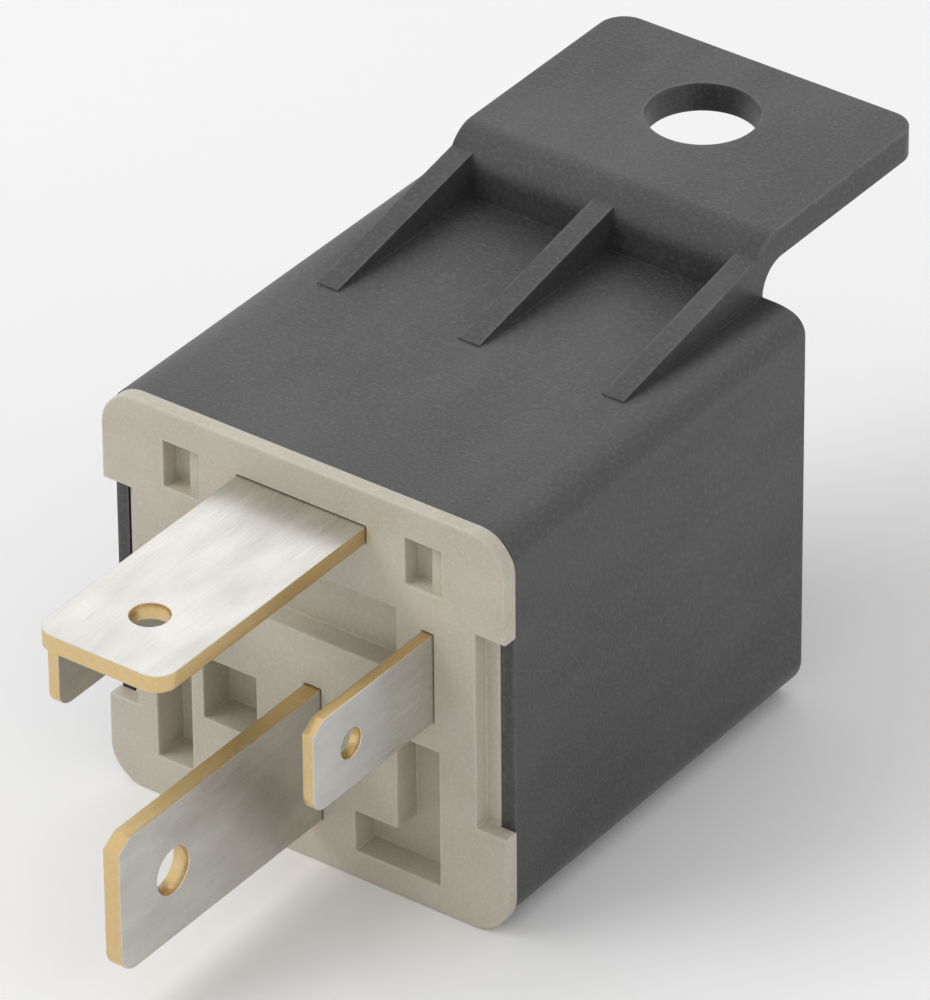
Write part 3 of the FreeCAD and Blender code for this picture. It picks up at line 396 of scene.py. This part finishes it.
def resistor_body(name, lacquer, shade, bands, half_length):
    """A dipped resistor body with plain colour rings across it."""
    material, t = new_material(name)
    where = t.place()
    tint = t.noise(where, 0.8 * MM, detail=3.0)
    dents = t.noise(where, 0.5 * MM)
    wobble = t.maths("MULTIPLY", t.maths("SUBTRACT", tint, 0.5), BAND_WOBBLE)
    along = t.maths("ADD", t.along(where, "X"), wobble)
    skin = t.mix(t.spread(tint), lacquer, shade)
    for station, tone in bands:
        offset = t.maths("ABSOLUTE", t.maths("SUBTRACT", along, station * half_length))
        skin = t.mix(t.remap(offset, BAND_END, BAND_FULL), skin, tone)
    finish_material(
        t,
        {
            "Base Color": skin,
            "Roughness": t.spread(tint, 0.25, 0.36),
            "Normal": t.bump(dents, distance=0.03 * MM, strength=0.5),
        },
    )
    return material


# Each plastic's third colour tints its flecks and its paler edges, which are partly rubbing and
# partly a painted highlight.
cover_plastic = moulded_plastic(
    "cover_plastic",
    tone=grey(0.050),
    shade=grey(0.038),
    worn_and_highlit=grey(0.120),
    rough=0.42,
    grain=0.16 * MM,
    grain_depth=0.012 * MM,
    flow=(1.0, 3.0, 1.0),
)
base_plastic = moulded_plastic(
    "base_plastic",
    tone=colour(0.56, 0.52, 0.43),
    shade=colour(0.50, 0.46, 0.37),
    worn_and_highlit=colour(0.68, 0.65, 0.57),
    rough=0.40,
    grain=0.14 * MM,
    grain_depth=0.008 * MM,
)
bobbin_plastic = moulded_plastic(
    "bobbin_plastic",
    tone=colour(0.66, 0.64, 0.56),
    shade=colour(0.58, 0.55, 0.46),
    worn_and_highlit=colour(0.76, 0.75, 0.70),
    rough=0.38,
    grain=0.14 * MM,
    grain_depth=0.008 * MM,
)
TIN = colour(0.74, 0.73, 0.70)
TIN_STAIN = colour(0.60, 0.585, 0.55)
BRASS = colour(0.70, 0.50, 0.22)
flat_blade_metal = plated_strip(
    "tinned_brass_flat", TIN, TIN_STAIN, rough=0.30, cut=BRASS, flat_axis="Z"
)
upright_blade_metal = plated_strip(
    "tinned_brass_upright", TIN, TIN_STAIN, rough=0.30, cut=BRASS, flat_axis="X"
)
bronze = plated_strip(
    "spring_bronze", colour(0.72, 0.47, 0.26), colour(0.62, 0.38, 0.20), rough=0.28
)
iron = plated_metal(
    "plated_iron", colour(0.62, 0.63, 0.64), colour(0.50, 0.50, 0.50), rough=0.34
)
silver = plated_metal(
    "contact_silver", colour(0.90, 0.88, 0.84), colour(0.80, 0.77, 0.72), rough=0.30
)
steel = plated_metal(
    "rivet_steel", colour(0.66, 0.65, 0.62), colour(0.55, 0.54, 0.51), rough=0.32
)
tinned_wire = plated_metal(
    "tinned_wire", colour(0.72, 0.72, 0.71), colour(0.60, 0.60, 0.58), rough=0.30
)
# The winding's darkest colour is painted shade in the gaps of its turns.
magnet_wire = wound_wire(
    "winding_copper",
    enamel=colour(0.62, 0.22, 0.07),
    deep=colour(0.50, 0.16, 0.045),
    turn_gap_shade=colour(0.06, 0.02, 0.008),
    pitch=0.22 * MM,
)
tape = film_tape("winding_tape", colour(0.62, 0.36, 0.05), colour(0.52, 0.28, 0.035))
bare_strand = stranded_copper("braid_copper", colour(0.72, 0.34, 0.16), colour(0.50, 0.20, 0.09))

RESISTOR_BANDS = (
    # place along the body as a share of half_length, colour
    (-0.66, colour(0.02, 0.05, 0.30)),
    (-0.30, colour(0.25, 0.25, 0.25)),
    (0.02, colour(0.12, 0.045, 0.015)),
    (0.60, colour(0.45, 0.30, 0.08)),
)
resistor_coat = resistor_body(
    "resistor_coat",
    lacquer=colour(0.50, 0.40, 0.26),
    shade=colour(0.44, 0.34, 0.21),
    bands=RESISTOR_BANDS,
    half_length=3.2 * MM,
)

FINISHES = {
    "cover": cover_plastic,
    "base": base_plastic,
    "bobbin": bobbin_plastic,
    "terminal_87": flat_blade_metal,
    "terminal_30": upright_blade_metal,
    "terminal_85": upright_blade_metal,
    "terminal_86": upright_blade_metal,
    "yoke": iron,
    "core": iron,
    "armature": iron,
    "contact_spring": bronze,
    "moving_contact": silver,
    "fixed_contact": silver,
    "coil_winding": magnet_wire,
    "coil_lead_85": magnet_wire,
    "coil_lead_86": magnet_wire,
    "coil_tape": tape,
    "shunt_braid": bare_strand,
    "suppression_resistor": resistor_coat,
    "resistor_leads": tinned_wire,
    "yoke_rivets": steel,
    "armature_rivets": steel,
    "foot_rivets": steel,
}
for node, material in FINISHES.items():
    for slot in NODES[node].material_slots:
        slot.material = material


# Edges. The carried-over nodes keep their meshes, and modifiers round their sharp edges.

WELD = 0.001 * MM
FLAT_ANGLE = math.radians(0.6)
EDGE_ANGLE = math.radians(28.0)
EDGE_SEGMENTS = 2
LARGE_FACE_WEIGHT = 80
EDGE_ROUND = {
    "cover": 0.14 * MM,
    "base": 0.10 * MM,
    "bobbin": 0.10 * MM,
    "terminal_87": 0.07 * MM,
    "terminal_30": 0.07 * MM,
    "terminal_85": 0.06 * MM,
    "terminal_86": 0.06 * MM,
    "yoke": 0.10 * MM,
    "core": 0.08 * MM,
    "armature": 0.10 * MM,
}


def skin_group():
    """Joins doubled corners and shades smooth, so that the next modifiers see one skin."""
    group = bpy.data.node_groups.new("one_skin", "GeometryNodeTree")
    group.interface.new_socket("Geometry", in_out="INPUT", socket_type="NodeSocketGeometry")
    group.interface.new_socket("Geometry", in_out="OUTPUT", socket_type="NodeSocketGeometry")
    t = Tree(group)
    start = t.add("NodeGroupInput").outputs[0]
    joined = t.add("GeometryNodeMergeByDistance", {"Geometry": start, "Distance": WELD})
    faces = t.add("GeometryNodeSetShadeSmooth", {"Geometry": joined.outputs[0]}, domain="FACE")
    edges = t.add("GeometryNodeSetShadeSmooth", {"Geometry": faces.outputs[0]}, domain="EDGE")
    t.add("NodeGroupOutput", {0: edges.outputs[0]})
    return group


def round_edges(piece, width, one_skin):
    skin = piece.modifiers.new("one_skin", "NODES")
    skin.node_group = one_skin
    flats = piece.modifiers.new("flats", "DECIMATE")
    flats.decimate_type = "DISSOLVE"
    flats.angle_limit = FLAT_ANGLE
    bevel = piece.modifiers.new("edge_round", "BEVEL")
    bevel.width = width
    bevel.segments = EDGE_SEGMENTS
    bevel.limit_method = "ANGLE"
    bevel.angle_limit = EDGE_ANGLE
    bevel.loop_slide = False  # sliding folds faces over at acute corners
    even = piece.modifiers.new("even_shading", "WEIGHTED_NORMAL")
    even.weight = LARGE_FACE_WEIGHT


def round_all_edges():
    one_skin = skin_group()
    for node, width in EDGE_ROUND.items():
        round_edges(NODES[node], width, one_skin)


round_all_edges()


# The leaf spring and the braid. Each has one end on the frame and the other on the armature.


def write_smooth(form, mesh, sharp_angle):
    """Writes the form to the mesh and shades it smooth, with the sharper edges left sharp."""
    form.to_mesh(mesh)
    form.free()
    mesh.polygons.foreach_set("use_smooth", [True] * len(mesh.polygons))
    mesh.set_sharp_from_angle(angle=sharp_angle)


def new_piece(name, mesh, material):
    piece = add_object(name, mesh)
    mesh.materials.clear()
    mesh.materials.append(material)
    return piece


# The leaf bends round the end of the yoke, where it gets more edge loops across Y and Z.
LEAF_CUTS_Y = [y * MM for y in (24.6, 25.0, 25.4, 25.8, 26.2, 26.6)]
LEAF_CUTS_Z = [z * MM for z in (-11.2, -10.8, -10.4, -10.0, -9.6, -9.2)]


def cut_across(form, normal, stations):
    """Adds an edge loop across the direction normal at each station."""
    for station in stations:
        everything = form.verts[:] + form.edges[:] + form.faces[:]
        bmesh.ops.bisect_plane(
            form, geom=everything, plane_co=normal * station, plane_no=normal, dist=WELD
        )


def make_leaf():
    """The leaf spring, whose leg is riveted under the yoke, remade with more edge loops."""
    mesh = NODES["contact_spring"].data.copy()
    stored_normals = mesh.attributes.get("custom_normal")
    if stored_normals is not None:
        mesh.attributes.remove(stored_normals)
    form = bmesh.new()
    form.from_mesh(mesh)
    bmesh.ops.remove_doubles(form, verts=form.verts, dist=WELD)
    bmesh.ops.dissolve_limit(form, angle_limit=FLAT_ANGLE, verts=form.verts, edges=form.edges)
    cut_across(form, Vector((0.0, 1.0, 0.0)), LEAF_CUTS_Y)
    cut_across(form, Vector((0.0, 0.0, 1.0)), LEAF_CUTS_Z)
    write_smooth(form, mesh, EDGE_ANGLE)
    piece = new_piece("leaf_spring", mesh, bronze)
    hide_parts("contact_spring")
    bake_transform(piece)


# The braid is a tube of strands, woven one over one and pressed flat. Half of them run round it
# one way and half the other.
BRAID_STRANDS = 12
BRAID_PITCH = 7.0 * MM
BRAID_STEP = 0.12 * MM
BRAID_THICKNESS = 0.8 * MM
BRAID_BEND_RADIUS = 1.4 * MM
BRAID_BEND_STEPS = 24
BRAID_OFF_YOKE = 0.02 * MM
STRAND_HALF_WIDTH = 0.17 * MM
STRAND_HALF_THICKNESS = 0.07 * MM
STRAND_WAVE = 0.055 * MM
STRAND_SIDES = 6
STRAND_SHARP_ANGLE = math.radians(50.0)


def braid_path(low, high, seat_x):
    """The middle line of the braid, seen from above: a U with two round corners."""
    half, bend = BRAID_THICKNESS / 2, BRAID_BEND_RADIUS
    x, front, rear = low.x + half, low.y + half, high.y - half
    # Each corner's centre, and its first and last angle in degrees.
    corners = ((x + bend, front + bend, -90.0, -180.0), (x + bend, rear - bend, 180.0, 90.0))
    path = [Vector((seat_x, front, 0.0))]
    for centre_x, centre_y, first, last in corners:
        for k in range(BRAID_BEND_STEPS + 1):
            angle = math.radians(first + (last - first) * k / BRAID_BEND_STEPS)
            path.append(
                Vector((centre_x + bend * math.cos(angle), centre_y + bend * math.sin(angle), 0.0))
            )
    path.append(Vector((high.x, rear, 0.0)))
    return path


def even_steps(path):
    """Even steps along the path, each with its length so far, its point and its side direction."""
    lengths = [0.0]
    for a, b in zip(path, path[1:]):
        lengths.append(lengths[-1] + (b - a).length)
    count = round(lengths[-1] / BRAID_STEP)
    steps, k = [], 0
    for step in range(count + 1):
        along = lengths[-1] * step / count
        while k < len(path) - 2 and lengths[k + 1] < along:
            k += 1
        share = (along - lengths[k]) / (lengths[k + 1] - lengths[k])
        way = (path[k + 1] - path[k]).normalized()
        steps.append((along, path[k].lerp(path[k + 1], share), Vector((way.y, -way.x, 0.0))))
    return steps


def strand_ring(form, centre, skin, outward):
    """One cross-section of a strand: an ellipse, wide along skin and thin along outward."""
    ring = []
    for k in range(STRAND_SIDES):
        angle = math.tau * k / STRAND_SIDES
        offset = skin * (STRAND_HALF_WIDTH * math.cos(angle))
        offset += outward * (STRAND_HALF_THICKNESS * math.sin(angle))
        ring.append(form.verts.new(centre + offset))
    return ring


def add_strand(form, steps, middle_z, half_width, strand, turn):
    """One strand, which runs round the flat tube and waves over and under the other strands."""
    wide = half_width - STRAND_HALF_WIDTH / 2
    deep = BRAID_THICKNESS / 2 - STRAND_WAVE - STRAND_HALF_THICKNESS
    rings = []
    for along, spot, side in steps:
        angle = math.tau * (strand / BRAID_STRANDS + turn * along / BRAID_PITCH)
        lift = turn * STRAND_WAVE * math.cos(BRAID_STRANDS * angle)
        across, out = math.cos(angle), math.sin(angle)
        outward = (Vector((0.0, 0.0, across * deep)) + side * (out * wide)).normalized()
        skin = (Vector((0.0, 0.0, -out * wide)) + side * (across * deep)).normalized()
        centre = spot + Vector((0.0, 0.0, middle_z + across * wide)) + side * (out * deep)
        rings.append(strand_ring(form, centre + outward * lift, skin, outward))
    for first, second in zip(rings, rings[1:]):
        for k in range(STRAND_SIDES):
            after = (k + 1) % STRAND_SIDES
            form.faces.new((first[k], first[after], second[after], second[k]))
    form.faces.new(rings[0][::-1])
    form.faces.new(rings[-1])


def make_braid():
    """The copper braid from the foot of terminal 30 to the leaf, in its solid's place."""
    low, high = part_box("shunt_braid")
    middle_z, half_width = (low.z + high.z) / 2, (high.z - low.z) / 2
    steps = even_steps(braid_path(low, high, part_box("yoke")[0].x - BRAID_OFF_YOKE))
    form = bmesh.new()
    for turn in (1.0, -1.0):
        for strand in range(BRAID_STRANDS):
            add_strand(form, steps, middle_z, half_width, strand, turn)
    bmesh.ops.recalc_face_normals(form, faces=form.faces)
    mesh = bpy.data.meshes.new("woven_braid")
    write_smooth(form, mesh, STRAND_SHARP_ANGLE)
    piece = new_piece("woven_braid", mesh, bare_strand)
    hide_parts("shunt_braid")
    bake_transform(piece)


make_leaf()
make_braid()


# Floor and light. The floor and the world show white to the camera and in reflections, and
# light the part with a little less, so that its colours render about as they are written.

FLOOR_REACH = 3.0
FLOOR_CELLS = 8
FLOOR_GAP = 0.02 * MM
AMBIENT = 0.62
LAMPS = (
    # name, place, size, power in watts, whether it shows in reflections
    ("key", (-0.42, -0.38, 0.62), 0.45, 2.6, False),
    ("sheen", (-0.36, 0.70, 0.52), 0.90, 0.6, True),
    ("side", (0.75, -0.05, 0.35), 0.45, 0.5, False),
)


def floor_material():
    material, t = new_material("floor")
    cloud = t.noise(t.place(), 40.0 * MM, detail=3.0)
    dull = t.mix(t.spread(cloud), grey(0.86), grey(0.84))
    tone = t.mix(t.seen(), dull, grey(1.0))
    finish_material(t, {"Base Color": tone, "Roughness": 0.7, "Specular IOR Level": 0.2})
    return material


def make_floor():
    mesh = bpy.data.meshes.new("floor")
    form = bmesh.new()
    bmesh.ops.create_grid(
        form, x_segments=FLOOR_CELLS, y_segments=FLOOR_CELLS, size=FLOOR_REACH
    )
    form.to_mesh(mesh)
    form.free()
    mesh.materials.append(floor_material())
    floor = add_object("floor", mesh)
    floor.location = (0.0, 0.0, cad_box[0].z - FLOOR_GAP)


def make_lamps():
    """Square lamps, each turned to the middle of the part."""
    middle = (cad_box[0] + cad_box[1]) / 2
    for name, place, size, power, mirrored in LAMPS:
        lamp = bpy.data.lights.new(name, "AREA")
        lamp.shape = "SQUARE"
        lamp.size = size
        lamp.energy = power
        item = add_object(name, lamp)
        item.location = place
        item.visible_glossy = mirrored
        item.rotation_euler = (Vector(place) - middle).to_track_quat("Z", "Y").to_euler()


def make_world():
    world = bpy.data.worlds.new("studio")
    world.use_nodes = True
    bpy.context.scene.world = world
    t = Tree(world.node_tree)
    strength = t.remap(t.seen(), 0.0, 1.0, AMBIENT, 1.0)
    sky = t.add("ShaderNodeBackground", {"Color": grey(1.0), "Strength": strength})
    t.add("ShaderNodeOutputWorld", {"Surface": sky.outputs[0]})


make_floor()
make_lamps()
make_world()

bpy.context.scene.view_settings.view_transform = "Standard"
